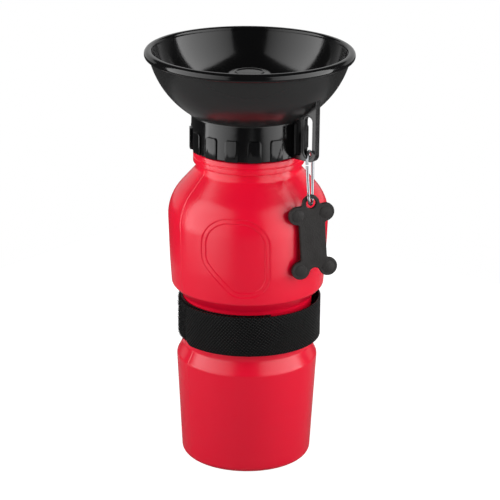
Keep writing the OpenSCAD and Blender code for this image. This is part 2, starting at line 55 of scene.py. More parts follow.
# %% Camera
VIEW_AZIMUTH = -50.5
VIEW_DISTANCE = 1151.3 * MM
VIEW_HEIGHT = 509.65 * MM
VIEW_DOWN = 18.83
VIEW_PAN = 0.0593
VIEW_ROLL = 0.6
LENS_PER_WIDTH = 2233 / 500


def around(azimuth, radius=1.0, height=0.0):
    """The point at an azimuth in degrees, a distance from the Z axis and a height."""
    a = math.radians(azimuth)
    return Vector((radius * math.cos(a), radius * math.sin(a), height))


def camera_matrix():
    ahead = around(VIEW_AZIMUTH + 180 - VIEW_PAN, math.cos(math.radians(VIEW_DOWN)),
                   -math.sin(math.radians(VIEW_DOWN)))
    right = ahead.cross(Vector((0, 0, 1))).normalized()
    up = right.cross(ahead)
    roll = Matrix.Rotation(math.radians(VIEW_ROLL), 3, -ahead)
    turn = Matrix((roll @ right, roll @ up, -ahead)).transposed().to_4x4()
    return Matrix.Translation(around(VIEW_AZIMUTH, VIEW_DISTANCE, VIEW_HEIGHT)) @ turn


bpy.ops.object.select_all(action="DESELECT")
bpy.ops.object.camera_add()
camera = bpy.context.object
camera.name = "camera"
camera.matrix_world = camera_matrix()
camera.data.sensor_width = 36
camera.data.lens = camera.data.sensor_width * LENS_PER_WIDTH
bpy.context.scene.camera = camera
print("camera at", tuple(round(v, 3) for v in camera.location), "lens", round(camera.data.lens, 1))

# %% [markdown]
# ## Finishes
# Colours are read as the sRGB values that a colour picker shows, and turned to linear light.
# One small function adds a node with its settings and links, so each material reads as a list.
# Patterns have their size in millimetres. A Bump node's Distance is the depth that a height of 1
# stands for, in metres as Blender counts.

# %% Material helpers


def linear(code):
    """Linear RGBA from an sRGB hex code."""
    parts = [int(code[i:i + 2], 16) / 255 for i in (1, 3, 5)]
    return [v / 12.92 if v <= 0.04045 else ((v + 0.055) / 1.055) ** 2.4 for v in parts] + [1.0]


def add_node(tree, kind, settings=None, links=None):
    """Adds a node; a setting is a property of the node or, failing that, the value of a socket."""
    node = tree.nodes.new(kind)
    for name, value in (settings or {}).items():
        if isinstance(name, str) and hasattr(node, name):
            setattr(node, name, value)
        else:
            node.inputs[name].default_value = value
    for name, source in (links or {}).items():
        tree.links.new(source, node.inputs[name])
    return node


def finish_named(name, base, roughness, **constants):
    """A new material and its Principled shader, with the constants set on the shader itself."""
    material = bpy.data.materials.new(name)
    material.use_nodes = True
    shader = material.node_tree.nodes["Principled BSDF"]
    shader.inputs["Base Color"].default_value = linear(base)
    shader.inputs["Roughness"].default_value = roughness
    for socket, value in constants.items():
        shader.inputs[socket.replace("_", " ")].default_value = value
    print("finish:", name, base)
    return material, material.node_tree, shader


def mottle(tree, size, low, high, where, detail=2):
    """Noise of a size in millimetres, mapped to lie between two values or two colours."""
    noise = add_node(tree, "ShaderNodeTexNoise", {"Scale": 1 / (size * MM), "Detail": detail},
                     {"Vector": where})
    ramp = add_node(tree, "ShaderNodeValToRGB", links={"Fac": noise.outputs["Fac"]})
    ramp.color_ramp.interpolation = "EASE"
    for element, place, value in zip(ramp.color_ramp.elements, (0.3, 0.7), (low, high)):
        element.position = place
        element.color = value if isinstance(value, list) else (value, value, value, 1)
    return ramp.outputs["Color"]


# %% [markdown]
# The bottle is low-density polyethylene, dyed through and blow moulded. It is soft and waxy, with
# a wet gloss over a faint orange peel, and a little light goes into the wall and comes back red.

# %% Blow-moulded polyethylene
ldpe, tree, shader = finish_named("ldpe_blow_moulded_red", "#F20B32", 0.24, IOR=1.51,
                                  Subsurface_Weight=0.12, Subsurface_Scale=4 * MM)
shader.inputs["Subsurface Radius"].default_value = (1.0, 0.25, 0.2)
place = add_node(tree, "ShaderNodeTexCoord").outputs["Object"]
tree.links.new(mottle(tree, 25, 0.21, 0.27, place), shader.inputs["Roughness"])
peel = mottle(tree, 1.8, 0.0, 1.0, place, detail=1)
bump = add_node(tree, "ShaderNodeBump", {"Distance": 0.003 * MM}, {"Height": peel})
tree.links.new(bump.outputs["Normal"], shader.inputs["Normal"])

# %% [markdown]
# The bowl and its collar are injection-moulded polypropylene. The mould was polished inside the
# bowl, where water has to run off, and left a touch duller outside, so there are two finishes. The
# satin one also has a lighter base colour, which is painted light on the bowl's outer wall. A
# third and plainer one is for the spout, which hides under its cap.

# %% Moulded polypropylene


def polypropylene(name, base, rough_low, rough_high, grain):
    """One of the moulding's finishes, with the depth of its grain in millimetres."""
    material, tree, shader = finish_named(name, base, rough_low, IOR=1.49)
    place = add_node(tree, "ShaderNodeTexCoord").outputs["Object"]
    tree.links.new(mottle(tree, 18, rough_low, rough_high, place, 4), shader.inputs["Roughness"])
    waves = mottle(tree, 2.5, 0.0, 1.0, place, 3)
    bump = add_node(tree, "ShaderNodeBump", {"Distance": grain * MM}, {"Height": waves})
    tree.links.new(bump.outputs["Normal"], shader.inputs["Normal"])
    return material


# The satin copy's lighter base colour is painted light on the outer wall; the dye is the same black
# as the polished copy.
pp_satin_painted_light = polypropylene("polypropylene_satin_painted_light", "#222222", 0.2, 0.27, 0.008)
pp_polished = polypropylene("polypropylene_moulded_polished", "#0A0A0B", 0.1, 0.15, 0.004)
pp_inner = polypropylene("polypropylene_moulded_inner", "#1C1C1E", 0.3, 0.4, 0.01)

# %% [markdown]
# The seal ring and the neck gasket are pressed silicone, matt and off-white. The dip tube is
# extruded polyethylene with no dye in it, which looks milky.

# %% Silicone and natural polyethylene
silicone, tree, shader = finish_named("silicone_pressed", "#DBDBD6", 0.5, IOR=1.41)
place = add_node(tree, "ShaderNodeTexCoord").outputs["Object"]
tree.links.new(mottle(tree, 3, 0.42, 0.58, place), shader.inputs["Roughness"])
natural_pe, tree, shader = finish_named("polyethylene_extruded_natural", "#E1E6EA", 0.3, IOR=1.51)
place = add_node(tree, "ShaderNodeTexCoord").outputs["Object"]
tree.links.new(mottle(tree, 10, 0.24, 0.36, place), shader.inputs["Roughness"])

# %% [markdown]
# The clip is spring steel wire with a bright nickel plating. A metal keeps its default IOR, and
# plating that is not quite even breaks up its reflections a little.

# %% Nickel-plated wire
nickel, tree, shader = finish_named("steel_wire_nickel_plated", "#9C9EA2", 0.16, Metallic=1.0)
place = add_node(tree, "ShaderNodeTexCoord").outputs["Object"]
tree.links.new(mottle(tree, 1.2, 0.12, 0.26, place, 3), shader.inputs["Roughness"])

# %% [markdown]
# The bone is moulded rubber: matt, nearly black, with a very fine grain from the mould, which is
# drawn coarser than it is so that it shows.

# %% Moulded rubber
rubber, tree, shader = finish_named("rubber_moulded", "#1F1C1B", 0.6, IOR=1.52,
                                    Specular_IOR_Level=0.4)
place = add_node(tree, "ShaderNodeTexCoord").outputs["Object"]
tree.links.new(mottle(tree, 6, 0.55, 0.72, place, 4), shader.inputs["Roughness"])
grain = mottle(tree, 0.8, 0.0, 1.0, place, 3)
bump = add_node(tree, "ShaderNodeBump", {"Distance": 0.04 * MM}, {"Height": grain})
tree.links.new(bump.outputs["Normal"], shader.inputs["Normal"])

# %% [markdown]
# ## Bottle
# A blown bottle is a turned form, so it starts as a line that is spun round the axis. The outline
# repeats the CAD solid's sizes, corner by corner, with the radius that rounds each corner.

# %% Outlines with rounded corners


def corner_arc(a, b, c, radius, steps):
    """Points of the arc that rounds corner b of the path a, b, c."""
    u, v = (a - b).normalized(), (c - b).normalized()
    half = u.angle(v) / 2
    centre = b + (u + v).normalized() * radius / math.sin(half)
    arm = b + u * radius / math.tan(half) - centre
    turn = math.copysign(math.pi - 2 * half, (b - a).cross(c - b))
    return [centre + Matrix.Rotation(turn * i / steps, 2) @ arm for i in range(steps + 1)]


def rounded(corners, steps=8):
    """A path of 2-D points in metres through (x, y, fillet) corners in millimetres."""
    at = [Vector(c[:2]) * MM for c in corners]
    path = []
    for i, (_, _, fillet) in enumerate(corners):
        if fillet:
            path += corner_arc(at[i - 1], at[i], at[i + 1], fillet * MM, steps)
        else:
            path.append(at[i])
    return path


def moved(path, distance):
    """The path moved to its left."""
    out = []
    for i, p in enumerate(path):
        before = (p - path[i - 1]).normalized() if i else (path[1] - p).normalized()
        after = (path[i + 1] - p).normalized() if i + 1 < len(path) else before
        left = Vector((-before.y, before.x))
        mitre = (left + Vector((-after.y, after.x))).normalized()
        out.append(p + mitre * distance / mitre.dot(left))
    return out


def heading(v):
    """Angle in radians of a vector's first two parts."""
    return math.atan2(v.y, v.x)


def resampled(path, longest, low, high):
    """The path with points added between two heights, so that no step there is too long."""
    out = [path[0]]
    for a, b in zip(path, path[1:]):
        n = max(1, math.ceil((b - a).length / longest)) if low < (a.y + b.y) / 2 < high else 1
        out += [a.lerp(b, i / n) for i in range(1, n + 1)]
    return out


WAIST_Z, WAIST_TOP, WAIST_R = 65.0, 93.9, 35.2
LIP_R, LIP_Z, BODY_R = 41.4, 100.1, 43.75
SHOULDER_Z, GROOVE_Z, GROOVE_R = 147.2, 164.6, 28.3
RING_Z, RING_TOP, RING_R = 168.2, 174.8, 29.95
NECK_R, NECK_TOP, WALL = 26.6, 193.9, 1.5
body_corners = [
    (0, 2, 0), (24.9, 2, 3), (28.5, 0, 2), (35.4, 0, 4), (38.6, 58.6, 4),
    (WAIST_R, WAIST_Z, 3), (WAIST_R, WAIST_TOP, 3), (LIP_R, LIP_Z, 2.2),
    (LIP_R + 0.45 * (BODY_R - LIP_R), LIP_Z + 14.6, 60), (BODY_R, SHOULDER_Z, 25),
    (GROOVE_R, GROOVE_Z, 4), (GROOVE_R, RING_Z - 1.4, 0)]
body_path = rounded(body_corners, steps=9)
neck_path = rounded([
    (GROOVE_R, RING_Z - 0.6, 0), (RING_R, RING_Z, 0.5), (RING_R, RING_Z + 2.8, 0),
    (RING_R - 0.5, RING_Z + 3.3, 0.3), (RING_R, RING_Z + 3.8, 0), (RING_R, RING_TOP, 0.6),
    (NECK_R, RING_TOP, 0.8), (NECK_R, NECK_TOP, 0)], steps=3)
print("bottle outline:", len(body_path) + len(neck_path), "points")

# %% [markdown]
# To draw a line, a ring is added with as many corners as the line needs, and each corner is put in
# its place; an open line then loses the edge that closed the ring. Everything else is deselected
# first, because an operator acts on all that is selected.

# %% Trace and spin


def select_edges(piece, chosen):
    """In edit mode, selects just the edges that a test of their two end points picks."""
    bpy.ops.mesh.select_mode(type="EDGE")
    bpy.ops.mesh.select_all(action="DESELECT")
    bpy.ops.object.mode_set(mode="OBJECT")
    corners = piece.data.vertices
    for edge in piece.data.edges:
        edge.select = bool(chosen(*(corners[i] for i in edge.vertices)))
    bpy.ops.object.mode_set(mode="EDIT")


def trace(name, points, closed=False):
    """A new object with one wire through 3-D points in metres, left in edit mode."""
    bpy.ops.object.select_all(action="DESELECT")
    bpy.ops.mesh.primitive_circle_add(vertices=len(points), radius=MM)
    piece = bpy.context.object
    piece.name = piece.data.name = name
    for corner, point in zip(piece.data.vertices, points):
        corner.co = point
    bpy.ops.object.mode_set(mode="EDIT")
    if not closed:
        last = {0, len(points) - 1}
        select_edges(piece, lambda a, b: {a.index, b.index} == last)
        bpy.ops.mesh.delete(type="EDGE")
    bpy.ops.mesh.select_all(action="SELECT")
    return piece


def close_up(piece, smooth_angle=35):
    """Merges doubles, turns the faces outwards and leaves edit mode with soft shading."""
    bpy.ops.mesh.select_all(action="SELECT")
    bpy.ops.mesh.remove_doubles(threshold=0.002 * MM)
    bpy.ops.mesh.normals_make_consistent(inside=False)
    bpy.ops.object.mode_set(mode="OBJECT")
    bpy.ops.object.shade_smooth_by_angle(angle=math.radians(smooth_angle))
    print(piece.name, len(piece.data.polygons), "faces")
    return piece


def turned(name, outline, steps, closed=False, smooth_angle=35):
    """The outline, drawn in the XZ plane, spun all the way round the Z axis."""
    piece = trace(name, [Vector((p.x, 0, p.y)) for p in outline], closed)
    bpy.ops.mesh.spin(steps=steps, angle=math.tau, center=(0, 0, 0), axis=(0, 0, 1))
    return close_up(piece, smooth_angle)


bore = [Vector((NECK_R - WALL, RING_Z)) * MM, Vector((NECK_R - WALL, NECK_TOP)) * MM]
panel_rows = [(LIP_Z + 4) * MM, (SHOULDER_Z + 2) * MM]
shell = resampled(body_path, 0.8 * MM, *panel_rows) + neck_path
inside = moved(rounded(body_corners, steps=4), WALL * MM) + bore
inside[0].x = 0
bottle = turned("bottle_body", shell + inside[::-1], steps=300)

# %% [markdown]
# The hollow for the thumb is an egg-shaped panel with a stepped border, and a parting line runs up
# each side of the bottle. Both have crisp edges, so the faces there are subdivided first, and the
# new points are put back on the round wall. The panel's outline is the hull of five discs, so a
# point lies outside it by the most that any direction says.

# %% Finer faces
RECESS_AZIMUTH, RECESS_DEPTH, RECESS_BORDER, SEAM_AZIMUTH = -60.0, 0.9, 2.3, -107.0
RECESS_Z, TOP_CORNER, LOW_CORNER, SLANT = LIP_Z + 25.8, 13.5, 9.3, 11.0
HALF_W, HALF_H, DIRECTIONS = 16.5, 19.6, 96
OUTER_FROM, BODY_FROM, PANEL_UNDER, EDGE_BAND, SEAM_BAND = 27, 30, 152.0, 1.8, 1.3
SEAM_FROM, SKIN_TOP = 4, RING_Z - 2
top_x, top_z = HALF_W - TOP_CORNER, HALF_H - TOP_CORNER
low_x, low_z = HALF_W - LOW_CORNER, HALF_H - LOW_CORNER
panel_discs = [(-top_x, top_z, TOP_CORNER), (top_x, top_z, TOP_CORNER),
               (low_x, -low_z, LOW_CORNER), (SLANT - low_x, -low_z, LOW_CORNER),
               (-low_x, 0.1 * low_z, LOW_CORNER)]
facing, side = around(RECESS_AZIMUTH), around(RECESS_AZIMUTH + 90)
supports = []
for i in range(DIRECTIONS):
    c, s = math.cos(math.tau * i / DIRECTIONS), math.sin(math.tau * i / DIRECTIONS)
    supports.append((c, s, max(x * c + z * s + r for x, z, r in panel_discs)))


def panel_gap(point):
    """Distance in millimetres outside the panel's outline, negative inside it, 99 far off."""
    u, v = point.dot(side) / MM, point.z / MM - RECESS_Z
    if point.dot(facing) < 0 or abs(u) > HALF_W + 7.5 or abs(v) > HALF_H + 6.4:
        return 99
    return max(u * c + v * s - reach for c, s, reach in supports)


def off_seam(point):
    """Angle in degrees from the nearer of the two parting lines."""
    return abs((math.degrees(heading(point)) - SEAM_AZIMUTH + 90) % 180 - 90)


def finer(piece, chosen, cuts):
    """Subdivides the faces that a test of centre and normal picks."""
    bpy.context.view_layer.objects.active = piece
    bpy.ops.object.mode_set(mode="EDIT")
    bpy.ops.mesh.select_mode(type="FACE")
    bpy.ops.mesh.select_all(action="DESELECT")
    bpy.ops.object.mode_set(mode="OBJECT")
    for face in piece.data.polygons:
        face.select = bool(chosen(face.center, face.normal))
    bpy.ops.object.mode_set(mode="EDIT")
    bpy.ops.mesh.subdivide(number_cuts=cuts)
    bpy.ops.object.mode_set(mode="OBJECT")
    print(piece.name, len(piece.data.polygons), "faces after subdivision")


def outward(point, normal):
    """Whether a face or point is on the outside of the bottle's wall."""
    return normal.xy.dot(point.xy) > 0 and point.xy.length > OUTER_FROM * MM


def near_edge(point, normal):
    """Picks what lies along the panel's two edges, on the outside."""
    return (LIP_Z * MM < point.z < PANEL_UNDER * MM and outward(point, normal)
            and -EDGE_BAND < panel_gap(point) < RECESS_BORDER + EDGE_BAND)


def near_seam(point, normal):
    """Picks what lies along a parting line, on the outside."""
    return (SEAM_FROM * MM < point.z < SKIN_TOP * MM and outward(point, normal)
            and off_seam(point) < SEAM_BAND)


finer(bottle, near_edge, 2)
finer(bottle, near_seam, 2)
wall = [(p.y, p.x) for p in shell if p.x > BODY_FROM * MM]
heights = [z for z, _ in wall]
outer_skin = [v for v in bottle.data.vertices if outward(v.co, v.normal)]
for vertex in outer_skin:
    co = vertex.co
    if heights[0] < co.z < SKIN_TOP * MM:
        k = max(1, bisect.bisect(heights, co.z))
        (z0, r0), (z1, r1) = wall[k - 1], wall[min(k, len(wall) - 1)]
        wanted = r0 + (r1 - r0) * (co.z - z0) / max(z1 - z0, 1e-9)
        if abs(wanted - co.xy.length) < 0.1 * MM:
            co.xy *= wanted / co.xy.length

# %% [markdown]
# The panel is then pressed in with Displace modifiers, one for the outside of the wall and one for
# its inside, weighted as one would paint them: a step at the border's outer edge and one at its
# inner edge. The parting line is raised in the same way.

# %% Thumb hollow and parting line


def eased(t):
    """A smooth step from 0 to 1."""
    t = min(1, max(0, t))
    return t * t * (3 - 2 * t)


STEP_W, RIDGE_TURN, RIDGE_H = 0.5, 0.25, 0.15
groups = {name: bottle.vertex_groups.new(name=name) for name in ("hollow", "hollow_in", "ridge")}
for vertex in bottle.data.vertices:
    co = vertex.co
    if (LIP_Z - 3) * MM < co.z < (PANEL_UNDER + 2) * MM and co.xy.length > BODY_FROM * MM:
        gap = panel_gap(co)
        deep = (eased((RECESS_BORDER - gap) / STEP_W) + eased(-gap / STEP_W)) / 2
        if deep > 0:
            name = "hollow" if outward(co, vertex.normal) else "hollow_in"
            groups[name].add([vertex.index], deep, "REPLACE")
    if off_seam(co) < RIDGE_TURN and near_seam(co, vertex.normal):
        groups["ridge"].add([vertex.index], 1, "REPLACE")
for name, depth in (("hollow", -RECESS_DEPTH), ("hollow_in", RECESS_DEPTH), ("ridge", RIDGE_H)):
    press = bottle.modifiers.new(name, "DISPLACE")
    press.strength, press.mid_level = depth * MM, 0
    press.vertex_group = name
    bpy.ops.object.modifier_apply(modifier=name)
bpy.ops.object.shade_smooth_by_angle(angle=math.radians(50))
bottle.data.materials.append(ldpe)
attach(bottle, "base")
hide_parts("bottle")

# %% [markdown]
# ## Bowl
# The bowl, its collar and its rolled rim are one turned moulding, so they are spun from one
# closed outline too. The wall is an arc, seen from the side, and so is its inside.

# %% Bowl and collar
COLLAR_Z, COLLAR_BORE, COLLAR_R = 175.6, 28.3, 31.1
FLOOR_UNDER, FLOOR_Z, FOOT_Z, FOOT_R = 196.3, 198.9, 194.7, 31.9
RIM_Z, RIM_TOP, RIM_R, MOUTH_R = 224.8, 229.2, 56.0, 53.4
CURVE_R, BOWL_WALL, FLOOR_FILLET = 49.2, 2.2, 10.0


def arc_centre(a, b, radius):
    """Centre, left of the way from a to b, of the arc that passes through both."""
    middle, chord = (a + b) / 2, b - a
    left = Vector((-chord.y, chord.x)).normalized()
    return middle + left * math.sqrt(radius ** 2 - (chord.length / 2) ** 2)


def arc(centre, radius, start, end, n):
    """Points in metres of an arc given in millimetres and radians."""
    turns = [start + (end - start) * i / n for i in range(n + 1)]
    return [(centre + Vector((math.cos(t), math.sin(t))) * radius) * MM for t in turns]


def full_circle(centre, radius, n=36):
    """Points of a circle, each one once."""
    return arc(centre, radius, 0, math.tau * (n - 1) / n, n - 1)


foot, mouth = Vector((FOOT_R, FOOT_Z + 0.6)), Vector((MOUTH_R, RIM_Z))
wall_centre = arc_centre(foot, mouth, CURVE_R)
inner_r = CURVE_R - BOWL_WALL
inner_mouth = wall_centre.x + math.sqrt(inner_r ** 2 - (RIM_TOP - wall_centre.y) ** 2)
fillet_z = FLOOR_Z + FLOOR_FILLET
fillet_centre = Vector((wall_centre.x + math.sqrt(
    (inner_r - FLOOR_FILLET) ** 2 - (fillet_z - wall_centre.y) ** 2), fillet_z))
fillet_end = heading(fillet_centre - wall_centre)
inner_end = heading(Vector((inner_mouth, RIM_TOP - 2)) - wall_centre)
HOLE_R = 8.05
bowl_outline = (
    rounded([(COLLAR_BORE, COLLAR_Z, 0), (COLLAR_R, COLLAR_Z, 0.5), (COLLAR_R - 0.2, FOOT_Z, 0.3),
             (FOOT_R, FOOT_Z, 0)], 4)
    + arc(wall_centre, CURVE_R, heading(foot - wall_centre), heading(mouth - wall_centre), 28)
    + rounded([(MOUTH_R + 0.1, RIM_Z, 0), (RIM_R, RIM_Z, 1.7), (RIM_R, RIM_TOP, 2.2),
               (inner_mouth, RIM_TOP, 1.2), (inner_mouth - 0.25, RIM_TOP - 1.9, 0)], 8)
    + arc(wall_centre, inner_r, inner_end, fillet_end, 24)
    + arc(fillet_centre, FLOOR_FILLET, fillet_end, -math.pi / 2, 12)
    + [Vector(p) * MM for p in ((20, FLOOR_Z), (HOLE_R, FLOOR_Z), (HOLE_R, FLOOR_UNDER),
                                (COLLAR_BORE, FLOOR_UNDER))])
bowl = turned("bowl_shell", bowl_outline, steps=240, closed=True)

# %% [markdown]
# The mould was polished for the inside, the rim and the collar, and the satin finish, whose lighter
# base colour is painted light, is left on the outside of the bowl's wall. Faces are given the
# polished one by their place.

# %% Polished inside, rim and collar
bowl.data.materials.append(pp_satin_painted_light)
bowl.data.materials.append(pp_polished)
for face in bowl.data.polygons:
    c = face.center / MM
    inner = c.z > FLOOR_Z - 0.1 and face.normal.z > 0
    face.material_index = 1 if inner or c.z > RIM_Z - 0.2 or c.z < FOOT_Z - 0.2 else 0
print("polished faces of the bowl:", sum(face.material_index for face in bowl.data.polygons))
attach(bowl, "head")
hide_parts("bowl")

# %% [markdown]
# Blocks round the collar give the hand a grip. One block is an outline spun through 13 degrees, so
# it follows the collar, and its two upper corners are cut round with a wide bevel. The rest are
# turned copies, and the hanger fin takes the sixteenth place.

# %% Grip blocks
GRIP_PLACES, GRIP_ANGLE, GRIP_OUT, GRIP_H, GRIP_CORNER = 16, 13.0, 0.8, 11.4, 1.6
block_outline = [Vector(p) * MM for p in (
    (COLLAR_R - 0.5, COLLAR_Z + 0.05), (COLLAR_R + GRIP_OUT, COLLAR_Z + 0.05),
    (COLLAR_R + GRIP_OUT, COLLAR_Z + GRIP_H), (COLLAR_R - 0.5, COLLAR_Z + GRIP_H))]
first_block = trace("grip_blocks", [Vector((p.x, 0, p.y)) for p in block_outline], closed=True)
bpy.ops.mesh.edge_face_add()
bpy.ops.transform.rotate(value=math.radians(-GRIP_ANGLE / 2), orient_axis="Z",
                         center_override=(0, 0, 0))
bpy.ops.mesh.spin(steps=6, angle=math.radians(GRIP_ANGLE), center=(0, 0, 0), axis=(0, 0, 1))
bpy.ops.mesh.select_all(action="SELECT")
bpy.ops.mesh.normals_make_consistent(inside=False)


def on_end(v):
    return abs(abs(math.degrees(heading(v.co))) - GRIP_ANGLE / 2) < 0.05


def on_top(v):
    return v.co.z > (COLLAR_Z + GRIP_H - 0.01) * MM


def soften(piece, width, segments=2, angle=30):
    """Rounds every edge sharper than an angle, with a Bevel modifier that is applied."""
    bpy.ops.object.mode_set(mode="OBJECT")
    bevel = piece.modifiers.new("soften", "BEVEL")
    bevel.width, bevel.segments = width * MM, segments
    bevel.limit_method, bevel.angle_limit = "ANGLE", math.radians(angle)
    bpy.ops.object.modifier_apply(modifier="soften")
    bpy.ops.object.mode_set(mode="EDIT")


select_edges(first_block, lambda a, b: on_end(a) and on_end(b) and on_top(a) and on_top(b)
             and abs(heading(a.co) - heading(b.co)) < 0.01)
bpy.ops.mesh.bevel(offset=GRIP_CORNER * MM, segments=5)
soften(first_block, 0.3)
bpy.ops.mesh.select_all(action="SELECT")
pitch = 360 / GRIP_PLACES
bpy.ops.transform.rotate(value=math.radians(pitch), orient_axis="Z", center_override=(0, 0, 0))
bpy.ops.mesh.spin(steps=GRIP_PLACES - 2, angle=math.radians(pitch * (GRIP_PLACES - 2)), dupli=True,
                  center=(0, 0, 0), axis=(0, 0, 1))
grips = close_up(first_block, 40)
headings = sorted(round(math.degrees(heading(v.co)), 1) for v in grips.data.vertices)
print("grip blocks from", headings[0], "to", headings[-1], "degrees, nearest the fin:",
      min(abs(h) for h in headings))
grips.data.materials.append(pp_polished)
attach(grips, "head")

# %% [markdown]
# The hanger fin is a flat plate between collar and bowl. Its outline is drawn in the XZ plane,
# filled and given its thickness. Cutters then take out the slot and sink, on each face, the web
# and a narrow land round the slot, and a bevel rounds what a mould would leave round.

# %% Hanger fin
FIN_REACH, FIN_T, FIN_CORNER = 46.4, 3.6, 4.0
SLOT_X, SLOT_R, SLOT_LOW, SLOT_HIGH = 41.3, 2.5, 178.2, 199.8
WEB_DEPTH, WEB_RIB, LAND_W, LAND_DEPTH = 0.7, 1.6, 1.0, 0.4


def plate(name, outline, y_from, y_to):
    """A plate between two values of Y, from a closed outline in the XZ plane."""
    piece = trace(name, [Vector((p.x, y_from * MM, p.y)) for p in outline], closed=True)
    bpy.ops.mesh.edge_face_add()
    bpy.ops.mesh.extrude_region_move(TRANSFORM_OT_translate={"value": (0, (y_to - y_from) * MM, 0)})
    bpy.ops.mesh.select_all(action="SELECT")
    bpy.ops.mesh.normals_make_consistent(inside=False)
    bpy.ops.object.mode_set(mode="OBJECT")
    return piece


def cut(piece, cutter):
    """Takes the cutter out of the piece and throws the cutter away."""
    bpy.context.view_layer.objects.active = piece
    knife = piece.modifiers.new("cut", "BOOLEAN")
    knife.object, knife.solver = cutter, "EXACT"
    bpy.ops.object.modifier_apply(modifier="cut")
    bpy.data.objects.remove(cutter)


def wall_z(x):
    """Height in millimetres of the middle of the bowl's wall, at a distance from the axis."""
    return wall_centre.y - math.sqrt((CURVE_R - BOWL_WALL / 2) ** 2 - (x - wall_centre.x) ** 2)


under_bowl = [Vector((x, wall_z(x))) * MM
              for x in (FIN_REACH - (FIN_REACH - FOOT_R) * i / 16 for i in range(17))]
fin_outline = rounded([(COLLAR_R - 1, COLLAR_Z, 0), (FIN_REACH, COLLAR_Z, FIN_CORNER),
                       (FIN_REACH, wall_z(FIN_REACH), 0)]) + under_bowl[1:]
fin_outline.append(Vector((COLLAR_R - 1, FLOOR_UNDER)) * MM)
fin = plate("hanger_fin", fin_outline, -FIN_T / 2, FIN_T / 2)
low, high = Vector((SLOT_X, SLOT_LOW + SLOT_R)), Vector((SLOT_X, SLOT_HIGH - SLOT_R))
slot_outline = arc(low, SLOT_R, -math.pi, 0, 16) + arc(high, SLOT_R, 0, math.pi, 16)
cut(fin, plate("slot_cutter", slot_outline, -FIN_T, FIN_T))
land_r = SLOT_R + LAND_W
land_outline = arc(low, land_r, -math.pi, 0, 20) + arc(high, land_r, 0, math.pi, 20)
web_left, web_right = COLLAR_R + WEB_RIB, SLOT_X - land_r - 0.7 * WEB_RIB
sag = BOWL_WALL / 2 + WEB_RIB
web_outline = rounded([
    (web_left, COLLAR_Z + WEB_RIB + 1, 0), (web_right, COLLAR_Z + WEB_RIB + 1, 0.8),
    (web_right, wall_z(web_right) - sag, 0.8), (web_left, wall_z(web_left) - sag, 0.8),
    (web_left, COLLAR_Z + WEB_RIB + 1.5, 0)], 4)
for face in (-1, 1):
    cut(fin, plate("web_cutter", web_outline, face * (FIN_T / 2 - WEB_DEPTH), face * FIN_T))
    cut(fin, plate("land_cutter", land_outline, face * (FIN_T / 2 - LAND_DEPTH), face * FIN_T))
soften(fin, 0.18, 2, 40)
fin = close_up(fin, 40)
fin.data.materials.append(pp_polished)
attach(fin, "head")

# %% [markdown]
# The round cap in the middle of the bowl turns on the spout and lets water out under its skirt.
# It is spun too, with a soft top edge and a shallow dish that a thumb finds.

# %% Spout cap
CAP_R, CAP_WALL, CAP_TOP, SLEEVE_R, SLEEVE_FOOT = 12.3, 1.6, 217.0, 8.06, 200.3
cap_under = CAP_TOP - CAP_WALL - 0.6
cap_outline = rounded([
    (0, cap_under, 0), (SLEEVE_R, cap_under, 0), (SLEEVE_R, SLEEVE_FOOT, 0),
    (SLEEVE_R + 1.6, SLEEVE_FOOT, 0), (SLEEVE_R + 1.6, cap_under, 0),
    (CAP_R - CAP_WALL, cap_under, 0), (CAP_R - CAP_WALL, FLOOR_Z + 2.6, 0),
    (CAP_R, FLOOR_Z + 2.6, 0.4), (CAP_R, CAP_TOP, 2.4), (CAP_R - 4.5, CAP_TOP, 2),
    (CAP_R - 5.5, CAP_TOP - 0.5, 2), (0, CAP_TOP - 0.5, 0)], 7)
cap = turned("twist_cap", cap_outline, steps=128)
cap.data.materials.append(pp_polished)
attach(cap, "cap")
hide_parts("spout_cap")

# %% [markdown]
# ## Parts that stay as the CAD made them
# The spout, seal, tube and gasket already have the right shape and hardly show, so they only get
# their materials, and so do the clip's gate and rivet.

# %% Finishes on CAD nodes
for node, material in {"spout": pp_inner, "spout_seal": silicone, "neck_gasket": silicone,
                       "dip_tube": natural_pe, "clip_gate": nickel, "clip_rivet": nickel}.items():
    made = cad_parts[node]
    made.data.materials.clear()
    made.data.materials.append(material)
    print(node, "gets", material.name)

# %% [markdown]
# ## Strap
# The strap is tape: a woven backing, with a fuzzy loop pile on one length and moulded hooks on
# the other. Its weave follows the tape, so each length of tape carries its own UV map, in
# millimetres along and across it.

# %% Woven tape


def tape_material(name, thread_crown_highlight, weave_valley_shade, rough, thread, depth):
    """Twill: warp and weft ribs crossed at a slant, coloured by their height, so the valleys carry
    painted shade and the crowns a painted highlight; the real threads are finer than drawn.
    """
    material, tree, shader = finish_named(name, thread_crown_highlight, rough, Specular_IOR_Level=0.15)
    where = add_node(tree, "ShaderNodeUVMap", {"uv_map": "tape"}).outputs["UV"]
    heights = []
    for slant in (math.radians(38), math.radians(-52)):
        turn = add_node(tree, "ShaderNodeMapping", {"Rotation": (0, 0, slant)}, {"Vector": where})
        rib = add_node(tree, "ShaderNodeTexWave",
                       {"Scale": 1 / (thread * 20 / math.tau), "Distortion": 0.6,
                        "Detail": 1.0, "Detail Scale": 2.0}, {"Vector": turn.outputs["Vector"]})
        heights.append(rib.outputs["Fac"])
    both = add_node(tree, "ShaderNodeMath", {"operation": "MULTIPLY"}, dict(enumerate(heights)))
    # The ramp paints shade into the weave's valleys and a highlight on the thread crowns.
    ramp = add_node(tree, "ShaderNodeValToRGB", links={"Fac": both.outputs["Value"]})
    for element, spot, code in zip(ramp.color_ramp.elements, (0.1, 0.6), (weave_valley_shade, thread_crown_highlight)):
        element.position, element.color = spot, linear(code)
    tree.links.new(ramp.outputs["Color"], shader.inputs["Base Color"])
    weave = add_node(tree, "ShaderNodeBump", {"Distance": depth * MM},
                     {"Height": both.outputs["Value"]})
    tree.links.new(weave.outputs["Normal"], shader.inputs["Normal"])
    return material
